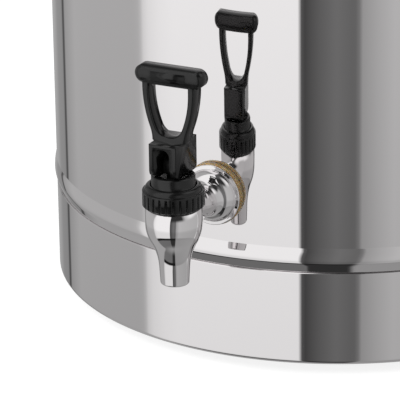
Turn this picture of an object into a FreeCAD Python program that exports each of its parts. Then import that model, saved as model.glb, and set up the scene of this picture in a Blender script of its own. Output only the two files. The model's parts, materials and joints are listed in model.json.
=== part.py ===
import FreeCAD, Part
import math
import os
import re
import Sketcher

# A 100-cup percolator coffee urn with a no-drip tap, in millimetres.
# Z is up and the origin is the centre of the foot ring's underside, on the urn's axis.
# The tap points along -Y and the side handles along +X and -X.

document = FreeCAD.newDocument("coffee_urn")

# Driving dimensions. Each has its own cell in the sheet, and every expression names it.
SIZES = [
    ("body_radius", 155, "outside of the tank wall and of the base band"),
    ("sheet_metal", 1, "pressed steel of the tank, band, plate and lid"),
    ("foot_gap", 6, "lower edge of the base band above the table"),
    ("band_height", 51.3, "height of the base band"),
    ("band_lip", 15, "width of the band's flanges at its top and bottom"),
    ("band_corner", 2.5, "rounding of the band's lower edge"),
    ("band_shoulder", 0.5, "rounding of the band's upper edge"),
    ("rim_height", 400, "top of the tank's rolled rim above the table"),
    ("rim_roll", 2.2, "radius of the rolled rim"),
    ("bead_out", 1.15, "how far the bead stands out of the wall"),
    ("bead_slope", 4.4, "top of the bead's straight underside, above the tank floor"),
    ("bead_crown", 6.9, "widest part of the bead, above the tank floor"),
    ("bead_height", 13.5, "top of the bead, above the tank floor"),
    ("bead_round", 8, "radius of the bead below its widest part"),
    ("foot_inset", 29, "rubber foot ring inside the band's outside"),
    ("foot_width", 14, "width of the rubber foot ring"),
    ("plate_overlap", 10, "how far the base plate laps under the band's lower flange"),
    ("stud_inset", 23, "base studs from the band's outside"),
    ("stud_count", 4, "base studs"),
    ("stud_radius", 2.5, "M5 base stud"),
    ("stud_stop", 1.2, "stud ends above the table"),
    ("nut_flats", 8, "M5 nut across its flats"),
    ("nut_thick", 3.2, "height of the thin M5 nut"),
    ("vent_radius", 1.8, "vent holes of the base plate"),
    ("vent_inset", 60, "vent holes from the band's outside"),
    ("vent_count", 12, "vent holes"),
    ("lid_reach", 3.6, "how far the lid's flange reaches past the wall"),
    ("lid_gap", 0.3, "lid above the rim"),
    ("lid_collar_gap", 3.5, "between the lid's collar and the inside of the wall"),
    ("lid_collar_depth", 9, "how deep the lid's collar reaches into the tank"),
    ("lid_rise", 34, "height of the lid's dome"),
    ("lid_flat", 20, "radius of the flat seat for the knob"),
    ("lid_step", 6, "height of the step round the dome"),
    ("lid_vent_radius", 1.6, "steam vent in the lid"),
    ("lid_vent_place", 62, "steam vent from the lid's centre"),
    ("knob_foot", 17, "radius of the knob's foot"),
    ("knob_waist", 10, "radius of the knob's waist"),
    ("knob_head", 23, "radius of the knob's head"),
    ("knob_height", 36, "height of the knob"),
    ("knob_crown", 4, "rise of the knob's domed top"),
    ("screw_radius", 2.5, "M5 screws of the knob and the side handles"),
    ("screw_head", 4.5, "radius of those screws' heads"),
    ("screw_head_height", 3, "height of those screws' heads"),
    ("screw_grip", 18, "how far those screws reach into the plastic"),
    ("screw_clear", 0.2, "clearance of those screws in the sheet metal"),
    ("handle_height", 330, "side handles above the table"),
    ("handle_half", 45, "side handle legs from the middle plane"),
    ("handle_reach", 38, "grip of a side handle from the wall, to its middle"),
    ("handle_bend", 14, "bend between a side handle's leg and its grip"),
    ("handle_thick", 8.5, "radius of a side handle's section"),
    ("handle_boss", 12.5, "radius of a side handle's boss on the wall"),
    ("handle_boss_height", 5, "face of that boss past the wall"),
    ("handle_root", 15, "where a side handle's bar starts, inside the wall before it is trimmed"),
    ("seal_radius", 7, "silicone seals under the handle screws"),
    ("seal_thick", 4, "seals between a screw head and the wall, on the seal's axis"),
    ("shank_height", 96.9, "axis of the tap's shank above the table"),
    ("shank_radius", 8, "tap shank"),
    ("shank_clear", 0.3, "clearance of the shank in the tank's hole"),
    ("shank_inside", 21, "how far the shank reaches into the tank"),
    ("tap_reach", 46.2, "axis of the tap's barrel from the wall"),
    ("washer_radius", 16.5, "silicone washers of the tap"),
    ("washer_thick", 3, "silicone washers of the tap"),
    ("flange_radius", 16.2, "bell flange of the tap"),
    ("flange_edge", 1.5, "thickness of the bell flange's edge"),
    ("bell_radius", 13.9, "bell behind its edge"),
    ("bell_length", 9, "from the flange's edge to the neck"),
    ("neck_radius", 7.5, "neck between bell and barrel"),
    ("passage_radius", 4.6, "water way through the shank"),
    ("lock_flats", 27, "lock nut across its flats"),
    ("lock_thick", 6.5, "lock nut"),
    ("nut_rise", 9.7, "underside of the bonnet nut above the shank's axis"),
    ("barrel_radius", 14.5, "barrel of the tap"),
    ("outlet_radius", 5.2, "outlet of the spout"),
    ("spout_drop", 42.3, "spout's tip below the bonnet nut"),
    ("spout_round", 1.1, "rounding of the spout's tip"),
    ("curve_start", 9.7, "where the barrel starts to narrow, below the bonnet nut"),
    ("shoulder_bend", 19.8, "radius of the narrowing's convex part"),
    ("waist_bend", 29.8, "radius of the narrowing's hollow part"),
    ("curve_angle", 30, "degrees of its steepest slope"),
    ("spout_angle", 3.3, "degrees that the spout tapers"),
    ("cavity_radius", 10.2, "cavity of the barrel"),
    ("seat_drop", 8.7, "valve seat below the shank's axis"),
    ("thread_radius", 13.5, "thread under the bonnet nut"),
    ("thread_height", 7, "thread above the bonnet nut's underside"),
    ("thread_clear", 0.05, "clearance of the bonnet nut's thread"),
    ("bonnet_nut_radius", 15.75, "outside of the bonnet nut's ribs"),
    ("bonnet_nut_ribs", 8.4, "height of the ribs"),
    ("bonnet_nut_shoulder", 14.5, "radius of the nut above its ribs"),
    ("bonnet_nut_height", 11.3, "height of the bonnet nut"),
    ("bonnet_nut_mouth", 12, "opening in the bonnet nut's top"),
    ("flute_radius", 0.5, "flutes between the ribs"),
    ("flute_count", 28, "flutes between the ribs"),
    ("bonnet_flange", 2, "thickness of the bonnet's flange"),
    ("bonnet_radius", 11.15, "collar of the bonnet"),
    ("bonnet_rise", 16.5, "top of the bonnet above the bonnet nut's underside"),
    ("bonnet_roof", 4, "thickness of the bonnet's roof"),
    ("bonnet_bore", 8.2, "spring space inside the bonnet"),
    ("stem_radius", 3, "valve stem"),
    ("stem_clear", 0.06, "running clearance of the stem in the bonnet"),
    ("stem_head_width", 7.2, "flattened head of the stem"),
    ("stem_head_radius", 3.6, "round end of that head"),
    ("cup_gap", 0.2, "seat cup above its seat when closed"),
    ("cup_radius", 8.2, "silicone seat cup"),
    ("cup_height", 9, "silicone seat cup"),
    ("spring_radius", 6.4, "middle of the spring's wire"),
    ("spring_wire", 0.5, "radius of the spring's wire"),
    ("spring_turns", 6, "turns of the spring"),
    ("spring_gap", 0.1, "spring's ends clear of what they press on"),
    ("hub_gap", 0.2, "handle hub above the bonnet"),
    ("hub_width", 15.4, "handle hub across"),
    ("hub_depth", 23.8, "handle hub from front to back"),
    ("hub_height", 18, "handle hub"),
    ("hub_round", 1, "rounding of the hub's edges"),
    ("hub_heel", 4.5, "rounding of the hub's rear lower edge"),
    ("hub_nose", 5.8, "top of the hub's nose above its underside"),
    ("pin_rise", 5.5, "pivot pin above the hub's underside"),
    ("pin_radius", 1.5, "pivot pin"),
    ("pin_clear", 0.05, "running clearance of the pin in the stem"),
    ("pin_recess", 0.3, "ends of the pin inside its hole"),
    ("pin_skin", 1.2, "hub's wall over the pin's blind end"),
    ("slot_width", 7.9, "slot in the hub"),
    ("slot_height", 16.1, "top of the slot's arch above the hub's underside"),
    ("slot_back", 5.6, "slot behind the pin"),
    ("tilt_angle", 40, "degrees that the handle tips forward"),
    ("tilt_lift", 4, "millimetres that it lifts the stem"),
    ("loop_depth", 8.8, "handle loop from front to back"),
    ("loop_bevel", 0.6, "bevel of the loop's edges"),
    ("loop_sunk", 3, "root of the loop inside the hub"),
    ("loop_half", 14.4, "half width of the loop at its top"),
    ("loop_rise", 28.5, "upper end of the loop's bow above the hub"),
    ("loop_bow", 64, "radius of the loop's outer sides"),
    ("loop_root_bend", 18.2, "radius where they turn down into the hub"),
    ("hole_rise", 1.8, "bottom of the finger hole above the hub"),
    ("hole_round", 7.7, "radius of the finger hole's bottom"),
    ("hole_half", 10.8, "half width of the finger hole at its top"),
    ("hole_bow_rise", 24, "upper end of the hole's bowed sides above its bottom"),
    ("bar_rise", 28.8, "underside of the cross bar above the hub"),
    ("bar_half", 18.8, "half length of the cross bar"),
    ("bar_height", 9.3, "cross bar"),
    ("bar_depth", 9, "cross bar"),
    ("bar_bevel", 1.6, "bevel of the cross bar's front and back"),
    ("plate_half", 9.3, "half length of the bare raised plate on the cross bar"),
    ("plate_height", 5, "height of that plate"),
    ("plate_relief", 0.3, "how far that plate stands out"),
    ("pump_gap", 0.3, "pump foot above the tank's floor"),
    ("pump_foot_radius", 36, "flared foot of the pump"),
    ("pump_foot_height", 20, "flared foot of the pump"),
    ("pump_radius", 6.3, "pump tube outside"),
    ("pump_wall", 1, "wall of the pump tube, foot, basket and cover"),
    ("pump_top", 388, "top of the pump tube above the table"),
    ("stop_radius", 9.5, "stop ring on the pump tube"),
    ("stop_thick", 4, "stop ring on the pump tube"),
    ("basket_height", 297, "underside of the coffee basket above the table"),
    ("basket_radius", 100, "coffee basket"),
    ("basket_depth", 74, "coffee basket"),
    ("basket_clear", 0.4, "clearance of basket and cover on the pump tube, and above each other"),
    ("basket_roll", 1.6, "rolled rim of the basket"),
    ("basket_hole", 1.6, "holes in the basket's bottom"),
    ("cover_gap", 3, "between the cover and the inside of the basket"),
    ("cover_hole", 1.4, "holes in the spreader cover"),
    ("heater_radius", 62, "middle of the main heating element's ring"),
    ("heater_tube", 4.2, "radius of the main element's sheath"),
    ("warmer_radius", 38, "middle of the keep-warm element's ring"),
    ("warmer_tube", 3.2, "radius of the keep-warm element's sheath"),
    ("terminal_drop", 20, "cold ends of the elements below their ring"),
    ("heater_opening", 40, "degrees that an element's ring stays open"),
    ("end_inset", 4, "degrees from an element's end to its cold end"),
    ("cold_end", 2.6, "radius of the elements' cold ends"),
    ("clamp_radius", 72, "plate that clamps the elements to the tank"),
    ("clamp_thick", 1.5, "plate that clamps the elements to the tank"),
    ("clamp_stud_radius", 3, "stud in the middle of the tank's floor"),
    ("clamp_nut_flats", 10, "nut on that stud"),
    ("clamp_nut_thick", 5, "nut on that stud"),
    ("thermostat_radius", 12, "thermostat's flange"),
    ("thermostat_height", 10, "thermostat"),
    ("fuse_radius", 2.2, "thermal fuse"),
    ("control_inset", 65, "thermostat, fuse and terminal block from the band's outside"),
    ("control_height", 30, "middle of the switch, lamp and inlet above the table"),
    ("switch_angle", 50, "degrees from the tap to the switch"),
    ("switch_width", 15, "switch frame"),
    ("switch_height", 26, "switch frame"),
    ("switch_lip", 2, "frame round the rocker"),
    ("switch_flange", 1.8, "how far the switch frame stands out"),
    ("switch_depth", 18, "switch housing inside the band"),
    ("switch_well", 12, "depth of the rocker's well"),
    ("rocker_depth", 5, "rocker's pivot behind the face of the frame"),
    ("rocker_gap", 0.3, "rocker clear of its frame"),
    ("rocker_angle", 16, "degrees that the rocker rocks"),
    ("rocker_pivot", 1.5, "radius of the rocker's trunnions"),
    ("lamp_angle", 64, "degrees from the tap to the ready lamp"),
    ("lamp_radius", 5, "ready lamp"),
    ("lamp_bezel", 7.5, "radius of the lamp's bezel"),
    ("lamp_depth", 16, "lamp body inside the band"),
    ("lamp_stand", 2.4, "how far the lamp stands out"),
    ("lamp_round", 1.5, "rounding of the lamp's lens"),
    ("inlet_width", 28, "appliance inlet's body"),
    ("inlet_height", 20, "appliance inlet's body"),
    ("inlet_depth", 24, "appliance inlet's body inside the band"),
    ("inlet_flange", 5, "flange round the appliance inlet"),
    ("inlet_stand", 2.5, "how far the inlet's flange stands out"),
    ("inlet_wall", 2, "wall of the inlet's socket"),
    ("inlet_socket", 17, "depth of the inlet's socket"),
    ("inlet_pin_length", 14, "inlet pins"),
    ("inlet_pin_width", 4, "inlet pins"),
    ("inlet_pin_thick", 2, "inlet pins"),
    ("inlet_pin_space", 7, "inlet pins from the middle one"),
    ("blade_length", 6, "how far the pins reach out of the inlet's back"),
]

sheet = document.addObject("Spreadsheet::Sheet", "sizes")
for row, (alias, amount, meaning) in enumerate(SIZES, 1):
    sheet.set(f"A{row}", meaning)
    sheet.set(f"B{row}", str(amount))
    sheet.setAlias(f"B{row}", alias)
document.recompute()

ALIASES = re.compile(r"\b(" + "|".join(name for name, _, _ in SIZES) + r")\b")

# Heights and places that follow from the driving dimensions.
FLOOR = "(foot_gap + band_height)"
FLOOR_TOP = f"({FLOOR} + sheet_metal)"
INSIDE = "(body_radius - sheet_metal)"
RIM_MIDDLE = "(rim_height - rim_roll)"
LID_LOW = "(rim_height + lid_gap)"
LID_TOP = f"({LID_LOW} + sheet_metal + lid_rise)"
BARREL = "(body_radius + tap_reach)"
NUT_LOW = "(shank_height + nut_rise)"
SPOUT_TIP = f"({NUT_LOW} - spout_drop)"
SEAT = "(shank_height - seat_drop)"
CUP_LOW = f"({SEAT} + cup_gap)"
CUP_TOP = f"({CUP_LOW} + cup_height)"
BONNET_TOP = f"({NUT_LOW} + bonnet_rise)"
HUB_LOW = f"({BONNET_TOP} + hub_gap)"
HUB_TOP = f"({HUB_LOW} + hub_height)"
PIN = f"({HUB_LOW} + pin_rise)"
HOLE_LOW = f"({HUB_TOP} + hole_rise)"
BAR_LOW = f"({HUB_TOP} + bar_rise)"
BAR_MIDDLE = f"({BAR_LOW} + bar_height / 2)"
BASKET_TOP = "(basket_height + basket_depth)"
HANDLE_GRIP = "(body_radius + handle_reach)"
STUD_CIRCLE = "(body_radius - stud_inset)"
VENT_CIRCLE = "(body_radius - vent_inset)"
FOOT_RADIUS = "(body_radius - foot_inset)"
CONTROL_CIRCLE = "(body_radius - control_inset)"


def in_cells(text):
    """The expression with each size's name pointing at its cell."""
    return ALIASES.sub(r"sizes.\1", str(text))


def value(text):
    """What an expression amounts to now."""
    return float(sheet.evalExpression(in_cells(text)))


def bind(thing, path, text):
    """Ties a property of a feature to the sheet."""
    thing.setExpression(path, in_cells(text))


pieces = []


def new_body(name, several=False):
    """A sub-part of its own. One that is a group of alike solids says so."""
    body = document.addObject("PartDesign::Body", name)
    body.Label = name
    body.AllowCompound = several
    pieces.append(body)
    return body


def of_origin(body, role):
    """A plane or an axis of the body's own origin."""
    return next(f for f in body.Origin.OriginFeatures if f.Role == role)


def new_sketch(body, name, role, right="0", up="0", out="0", turn="0"):
    """A sketch on one of the body's origin planes, moved right, up and out of it, turned about its upright."""
    sketch = body.newObject("Sketcher::SketchObject", name)
    sketch.AttachmentSupport = [(of_origin(body, role), "")]
    sketch.MapMode = "FlatFace"
    sketch.AttachmentOffset = FreeCAD.Placement(
        FreeCAD.Vector(value(right), value(up), value(out)),
        FreeCAD.Rotation(FreeCAD.Vector(0, 1, 0), value(turn)),
    )
    for path, text in (("Base.x", right), ("Base.y", up), ("Base.z", out), ("Rotation.Angle", turn)):
        if text != "0":
            bind(sketch, "AttachmentOffset." + path, text)
    return sketch


def hold_point(sketch, edge, end, right, up):
    """Holds a corner of a sketch at the place that two expressions give."""
    for kind, line, text in (("DistanceX", -2, right), ("DistanceY", -1, up)):
        if str(text) == "0":
            sketch.addConstraint(Sketcher.Constraint("PointOnObject", edge, end, line))
        else:
            index = sketch.addConstraint(Sketcher.Constraint(kind, -1, 1, edge, end, value(text)))
            bind(sketch, f"Constraints[{index}]", text)


def arc_between(start, finish, radius, side, wide):
    """The arc from start to finish whose centre is on that side of the way."""
    across = finish - start
    square = max(radius ** 2 - (across.Length / 2) ** 2, 0)
    normal = FreeCAD.Vector(-across.y, across.x, 0).normalize()
    sign = 1 if (side == "left") != wide else -1
    centre = (start + finish) / 2 + normal * (sign * math.sqrt(square))
    first, last = (start, finish) if side == "left" else (finish, start)
    angles = [math.atan2(p.y - centre.y, p.x - centre.x) for p in (first, last)]
    circle = Part.Circle(centre, FreeCAD.Vector(0, 0, 1), radius)
    return Part.ArcOfCircle(circle, angles[0], angles[1])


def draw(sketch, corners):
    """Joins the corners into a closed outline.

    A corner is (right, up), or (right, up, bend, radius) where an arc leads on from it.
    The bend says on which side of the way the arc's centre lies: left, right, or left wide.
    """
    ends = []
    places = [FreeCAD.Vector(value(c[0]), value(c[1]), 0) for c in corners]
    for number, corner in enumerate(corners):
        start = places[number]
        finish = places[(number + 1) % len(corners)]
        if len(corner) == 2:
            edge = sketch.addGeometry(Part.LineSegment(start, finish))
            ends.append((edge, 1, 2))
            continue
        side, _, wide = corner[2].partition(" ")
        edge = sketch.addGeometry(arc_between(start, finish, value(corner[3]), side, bool(wide)))
        ends.append((edge, 1, 2) if side == "left" else (edge, 2, 1))
        index = sketch.addConstraint(Sketcher.Constraint("Radius", edge, value(corner[3])))
        bind(sketch, f"Constraints[{index}]", corner[3])
    for number, (edge, first, last) in enumerate(ends):
        following = ends[(number + 1) % len(ends)]
        sketch.addConstraint(Sketcher.Constraint("Coincident", edge, last, following[0], following[1]))
        hold_point(sketch, edge, first, corners[number][0], corners[number][1])


def draw_circle(sketch, right, up, radius):
    """A circle with its centre and radius in the sheet."""
    centre = FreeCAD.Vector(value(right), value(up), 0)
    edge = sketch.addGeometry(Part.Circle(centre, FreeCAD.Vector(0, 0, 1), value(radius)))
    index = sketch.addConstraint(Sketcher.Constraint("Radius", edge, value(radius)))
    bind(sketch, f"Constraints[{index}]", radius)
    hold_point(sketch, edge, 3, right, up)


def rectangle(left, low, right, high):
    """The corners of a rectangle."""
    return [(left, low), (right, low), (right, high), (left, high)]


def hexagon(right, flats):
    """The corners of a hexagon about a point on the sketch's right axis."""
    corner = f"{flats} / sqrt(3)"
    near = f"({flats} / 2)"
    half = f"({flats} / sqrt(3) / 2)"
    return [
        (f"{right} + {corner}", "0"),
        (f"{right} + {half}", near),
        (f"{right} - {half}", near),
        (f"{right} - {corner}", "0"),
        (f"{right} - {half}", f"-{near}"),
        (f"{right} + {half}", f"-{near}"),
    ]


def revolve(body, sketch, axis="V_Axis", angle=360, cut=False):
    """Turns an outline about an axis of its sketch, to add or to cut."""
    kind = "PartDesign::Groove" if cut else "PartDesign::Revolution"
    feature = body.newObject(kind, sketch.Name + "_turned")
    feature.Profile = sketch
    feature.ReferenceAxis = (sketch, [axis])
    feature.Angle = value(angle)
    if str(angle) != "360":
        bind(feature, "Angle", angle)
    return feature


def pad(body, sketch, length, both_sides=False, backwards=False):
    """Pushes an outline out into a solid."""
    feature = body.newObject("PartDesign::Pad", sketch.Name + "_pushed")
    feature.Profile = sketch
    feature.Length = value(length)
    bind(feature, "Length", length)
    feature.Midplane = both_sides
    feature.Reversed = backwards
    return feature


def pocket(body, sketch, depth, backwards=False, both_sides=False):
    """Cuts an outline into the solid, and makes sure that it takes something away."""
    document.recompute()
    before = body.Shape.Volume
    feature = body.newObject("PartDesign::Pocket", sketch.Name + "_cut")
    feature.Profile = sketch
    feature.Type = 0
    feature.Length = value(depth)
    bind(feature, "Length", depth)
    feature.Midplane = both_sides
    feature.Reversed = backwards
    document.recompute()
    if not body.Shape.Volume < before - 1e-6:
        raise ValueError(f"{sketch.Name} cuts nothing")
    return feature


def repeat(body, feature, count):
    """Repeats a feature about the body's upright axis."""
    pattern = body.newObject("PartDesign::PolarPattern", feature.Name + "_ring")
    pattern.Originals = [feature]
    pattern.Axis = (of_origin(body, "Z_Axis"), [""])
    pattern.Angle = 360
    pattern.Occurrences = int(value(count))
    if ALIASES.search(str(count)):
        bind(pattern, "Occurrences", count)
    body.Tip = pattern
    return pattern


def place(body, right="0", forward="0", up="0", turn=0, axis=(0, 0, 1)):
    """Puts a body where it belongs. The place follows the sheet."""
    body.Placement = FreeCAD.Placement(
        FreeCAD.Vector(value(right), value(forward), value(up)),
        FreeCAD.Rotation(FreeCAD.Vector(*axis), value(turn)),
    )
    for path, text in (("Base.x", right), ("Base.y", forward), ("Base.z", up), ("Rotation.Angle", turn)):
        if ALIASES.search(str(text)):
            bind(body, "Placement." + path, text)


def turned(name, corners, several=False):
    """A piece that is round about its upright axis."""
    body = new_body(name, several)
    sketch = new_sketch(body, name + "_outline", "XZ_Plane")
    draw(sketch, corners)
    revolve(body, sketch)
    return body


def edges_on(shape, axis, places):
    """Names of the edges whose points all lie at one of those places along an axis."""
    names = []
    for number, edge in enumerate(shape.Edges, 1):
        for wanted in places:
            if all(abs(getattr(v.Point, axis) - wanted) < 1e-4 for v in edge.Vertexes):
                names.append(f"Edge{number}")
    return names


def soften(body, kind, base, names, size):
    """A fillet or a chamfer on named edges of a feature."""
    feature = body.newObject("PartDesign::" + kind, base.Name + "_" + kind.lower())
    feature.Base = (base, names)
    path = "Radius" if kind == "Fillet" else "Size"
    setattr(feature, path, value(size))
    bind(feature, path, size)
    return feature


def round_hole(body, name, role, right, up, radius, depth, backwards=False, turn="0"):
    """A round hole that starts on one of the body's origin planes."""
    sketch = new_sketch(body, name, role, turn=turn)
    draw_circle(sketch, right, up, radius)
    return pocket(body, sketch, depth, backwards)


def make_tank():
    """The tank: floor, bead, wall and rolled rim in one skin, with holes for the tap and the handles."""
    bead = "(body_radius + bead_out)"
    swell = "(bead_round - sqrt(bead_round ^ 2 - (bead_crown - bead_slope) ^ 2))"
    crown = "((bead_out ^ 2 + (bead_height - bead_crown) ^ 2) / (2 * bead_out))"
    tank = turned("tank", [
        ("0", FLOOR),
        ("body_radius - 2.3 * sheet_metal", FLOOR, "left", "2.27 * sheet_metal"),
        ("body_radius - 0.3 * sheet_metal", f"{FLOOR} + 1.2 * sheet_metal"),
        (f"{bead} - {swell}", f"{FLOOR} + bead_slope", "left", "bead_round"),
        (bead, f"{FLOOR} + bead_crown", "left", crown),
        ("body_radius", f"{FLOOR} + bead_height"),
        ("body_radius", f"{RIM_MIDDLE} - sqrt(rim_roll ^ 2 - (rim_roll - sheet_metal) ^ 2)",
         "left wide", "rim_roll"),
        (INSIDE, RIM_MIDDLE),
        (INSIDE, f"{FLOOR} + bead_height", "right", crown),
        (f"{bead} - sheet_metal", f"{FLOOR} + bead_crown", "right", "bead_round"),
        (f"{bead} - {swell} - sheet_metal", f"{FLOOR} + bead_slope"),
        ("body_radius - 1.3 * sheet_metal", f"{FLOOR} + 1.9 * sheet_metal"),
        ("body_radius - 3 * sheet_metal", FLOOR_TOP),
        ("0", FLOOR_TOP),
    ])
    round_hole(tank, "tap_hole", "XZ_Plane", "0", "shank_height",
               "shank_radius + shank_clear", "body_radius + 5", backwards=True)
    for side, backwards in (("right", True), ("left", False)):
        for way, sign in (("front", "-"), ("rear", "")):
            round_hole(tank, f"{side}_{way}_screw_hole", "YZ_Plane", f"{sign}handle_half", "handle_height",
                       "screw_radius + screw_clear", "body_radius + 5", backwards=backwards)


def make_base():
    """The band under the tank, the plate that closes it, and what holds and carries them."""
    inner = "(body_radius - band_lip)"
    low = "foot_gap"
    band = turned("base_band", [
        (inner, low),
        ("body_radius - band_corner", low, "left", "band_corner"),
        ("body_radius", f"{low} + band_corner"),
        ("body_radius", f"{FLOOR} - band_shoulder", "left", "band_shoulder"),
        ("body_radius - band_shoulder", FLOOR),
        (inner, FLOOR),
        (inner, f"{FLOOR} - sheet_metal"),
        (INSIDE, f"{FLOOR} - sheet_metal"),
        (INSIDE, f"{low} + band_corner", "right", "band_corner - sheet_metal"),
        ("body_radius - band_corner", f"{low} + sheet_metal"),
        (inner, f"{low} + sheet_metal"),
    ])
    sketch = new_sketch(band, "inlet_hole", "XZ_Plane")
    half = "(inlet_width / 2)"
    draw(sketch, rectangle(f"-{half}", "control_height - inlet_height / 2",
                           half, "control_height + inlet_height / 2"))
    pocket(band, sketch, "body_radius + 5")
    sketch = new_sketch(band, "switch_hole", "XZ_Plane", turn="switch_angle")
    half = "(switch_width / 2 - switch_lip / 2)"
    draw(sketch, rectangle(f"-{half}", "control_height - switch_height / 2 + switch_lip / 2",
                           half, "control_height + switch_height / 2 - switch_lip / 2"))
    pocket(band, sketch, "body_radius + 5", backwards=True)
    round_hole(band, "lamp_hole", "XZ_Plane", "0", "control_height", "lamp_radius",
               "body_radius + 5", backwards=True, turn="lamp_angle")

    plate = turned("base_plate", rectangle(
        "0", "foot_gap - sheet_metal", f"{inner} + plate_overlap", "foot_gap"))
    vents = round_hole(plate, "vent_hole", "XY_Plane", VENT_CIRCLE, "0", "vent_radius", "foot_gap + 1",
                       backwards=True)
    repeat(plate, vents, "vent_count")
    studs = round_hole(plate, "stud_hole", "XY_Plane", STUD_CIRCLE, "0", "stud_radius", "foot_gap + 1",
                       backwards=True)
    repeat(plate, studs, "stud_count")
    place(plate, turn=45)

    turned("foot_ring", [
        (f"{FOOT_RADIUS} - foot_width", "0"),
        (FOOT_RADIUS, "0"),
        (f"{FOOT_RADIUS} - 1", "foot_gap - sheet_metal"),
        (f"{FOOT_RADIUS} - foot_width + 1", "foot_gap - sheet_metal"),
    ])

    studs = new_body("base_studs", several=True)
    sketch = new_sketch(studs, "base_stud", "XY_Plane", out="stud_stop")
    draw_circle(sketch, STUD_CIRCLE, "0", "stud_radius")
    repeat(studs, pad(studs, sketch, f"{FLOOR} - stud_stop"), "stud_count")
    place(studs, turn=45)

    nuts = new_body("base_nuts", several=True)
    sketch = new_sketch(nuts, "base_nut", "XY_Plane", out="foot_gap - sheet_metal - nut_thick")
    draw(sketch, hexagon(STUD_CIRCLE, "nut_flats"))
    draw_circle(sketch, STUD_CIRCLE, "0", "stud_radius")
    repeat(nuts, pad(nuts, sketch, "nut_thick"), "stud_count")
    place(nuts, turn=45)


def make_lid():
    """The lid: flat flange, locating collar and dome, with its knob and screw."""
    edge = "(body_radius + lid_reach)"
    collar = f"({INSIDE} - lid_collar_gap)"
    step = f"({collar} - 4)"
    dome_low = f"({LID_LOW} + sheet_metal + lid_step)"
    dome = f"((({step} - lid_flat) ^ 2 + (lid_rise - lid_step) ^ 2) / (2 * (lid_rise - lid_step)))"
    lid = turned("lid", [
        (collar, LID_LOW),
        (edge, LID_LOW),
        (edge, f"{LID_LOW} + sheet_metal"),
        (f"{step} + 2", f"{LID_LOW} + sheet_metal"),
        (step, dome_low, "left", dome),
        ("lid_flat", LID_TOP),
        ("0", LID_TOP),
        ("0", f"{LID_TOP} - sheet_metal"),
        ("lid_flat", f"{LID_TOP} - sheet_metal", "right", f"{dome} - sheet_metal"),
        (f"{step} - sheet_metal", f"{dome_low} - sheet_metal"),
        (f"{step} + 1", LID_LOW),
        (f"{collar} - sheet_metal", LID_LOW),
        (f"{collar} - sheet_metal", f"{LID_LOW} - lid_collar_depth"),
        (collar, f"{LID_LOW} - lid_collar_depth"),
    ])
    round_hole(lid, "knob_hole", "XY_Plane", "0", "0", "screw_radius + screw_clear", f"{LID_TOP} + 5",
               backwards=True)
    round_hole(lid, "steam_vent", "XY_Plane", "0", "lid_vent_place", "lid_vent_radius", f"{LID_TOP} + 5",
               backwards=True)

    top = f"({LID_TOP} + knob_height)"
    turned("lid_knob", [
        ("screw_radius", LID_TOP),
        ("knob_foot", LID_TOP),
        ("knob_foot", f"{LID_TOP} + 3", "right", "knob_height / 2"),
        ("knob_waist", f"{LID_TOP} + knob_height / 2", "right", "knob_height / 2"),
        ("knob_head", f"{top} - 2 * knob_crown", "left", "knob_crown"),
        ("knob_head - 1", f"{top} - knob_crown", "left",
         "((knob_head - 1) ^ 2 + knob_crown ^ 2) / (2 * knob_crown)"),
        ("0", top),
        ("0", f"{LID_TOP} + screw_grip"),
        ("screw_radius", f"{LID_TOP} + screw_grip"),
    ])

    under = f"({LID_TOP} - sheet_metal)"
    turned("knob_screw", [
        ("0", f"{under} - screw_head_height"),
        ("screw_head - 1", f"{under} - screw_head_height", "left", "screw_head_height"),
        ("screw_head", under),
        ("screw_radius", under),
        ("screw_radius", f"{LID_TOP} + screw_grip"),
        ("0", f"{LID_TOP} + screw_grip"),
    ])


def make_side_handle(name, turn):
    """One side handle: two legs and a grip bent from one bar, with bosses shaped to the wall."""
    handle = new_body(name)
    path = new_sketch(handle, name + "_path", "XY_Plane", out="handle_height")
    start = "(body_radius - handle_root)"
    bend = f"({HANDLE_GRIP} - handle_bend)"
    end = "(handle_half - handle_bend)"
    points = [(start, "-handle_half"), (bend, "-handle_half"), (HANDLE_GRIP, f"-{end}"),
              (HANDLE_GRIP, end), (bend, "handle_half"), (start, "handle_half")]
    spots = [FreeCAD.Vector(value(x), value(y), 0) for x, y in points]
    for number in range(len(points) - 1):
        if number in (1, 3):
            path.addGeometry(arc_between(spots[number], spots[number + 1], value("handle_bend"), "left", False))
        else:
            path.addGeometry(Part.LineSegment(spots[number], spots[number + 1]))
    for number in range(len(points) - 2):
        path.addConstraint(Sketcher.Constraint("Coincident", number, 2, number + 1, 1))
    for number, (x, y) in enumerate(points):
        hold_point(path, min(number, len(points) - 2), 1 if number < len(points) - 1 else 2, x, y)
    for arc in (1, 3):
        index = path.addConstraint(Sketcher.Constraint("Radius", arc, value("handle_bend")))
        bind(path, f"Constraints[{index}]", "handle_bend")
    section = new_sketch(handle, name + "_section", "YZ_Plane", out=start)
    draw_circle(section, "-handle_half", "handle_height", "handle_thick")
    document.recompute()
    bar = handle.newObject("PartDesign::AdditivePipe", name + "_bar")
    bar.Profile = section
    bar.Spine = (path, [])
    for way, sign in (("front", "-"), ("rear", "")):
        boss = new_sketch(handle, f"{name}_{way}_boss", "YZ_Plane", out=start)
        draw_circle(boss, f"{sign}handle_half", "handle_height", "handle_boss")
        pad(handle, boss, "handle_root + handle_boss_height")
    trim = new_sketch(handle, name + "_wall", "XZ_Plane")
    draw(trim, rectangle("0", "handle_height - 20", "body_radius", "handle_height + 20"))
    revolve(handle, trim, cut=True)
    for way, sign in (("front", "-"), ("rear", "")):
        round_hole(handle, f"{name}_{way}_thread", "YZ_Plane", f"{sign}handle_half", "handle_height",
                   "screw_radius", "body_radius + screw_grip", backwards=True)
    place(handle, turn=turn)


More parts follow.
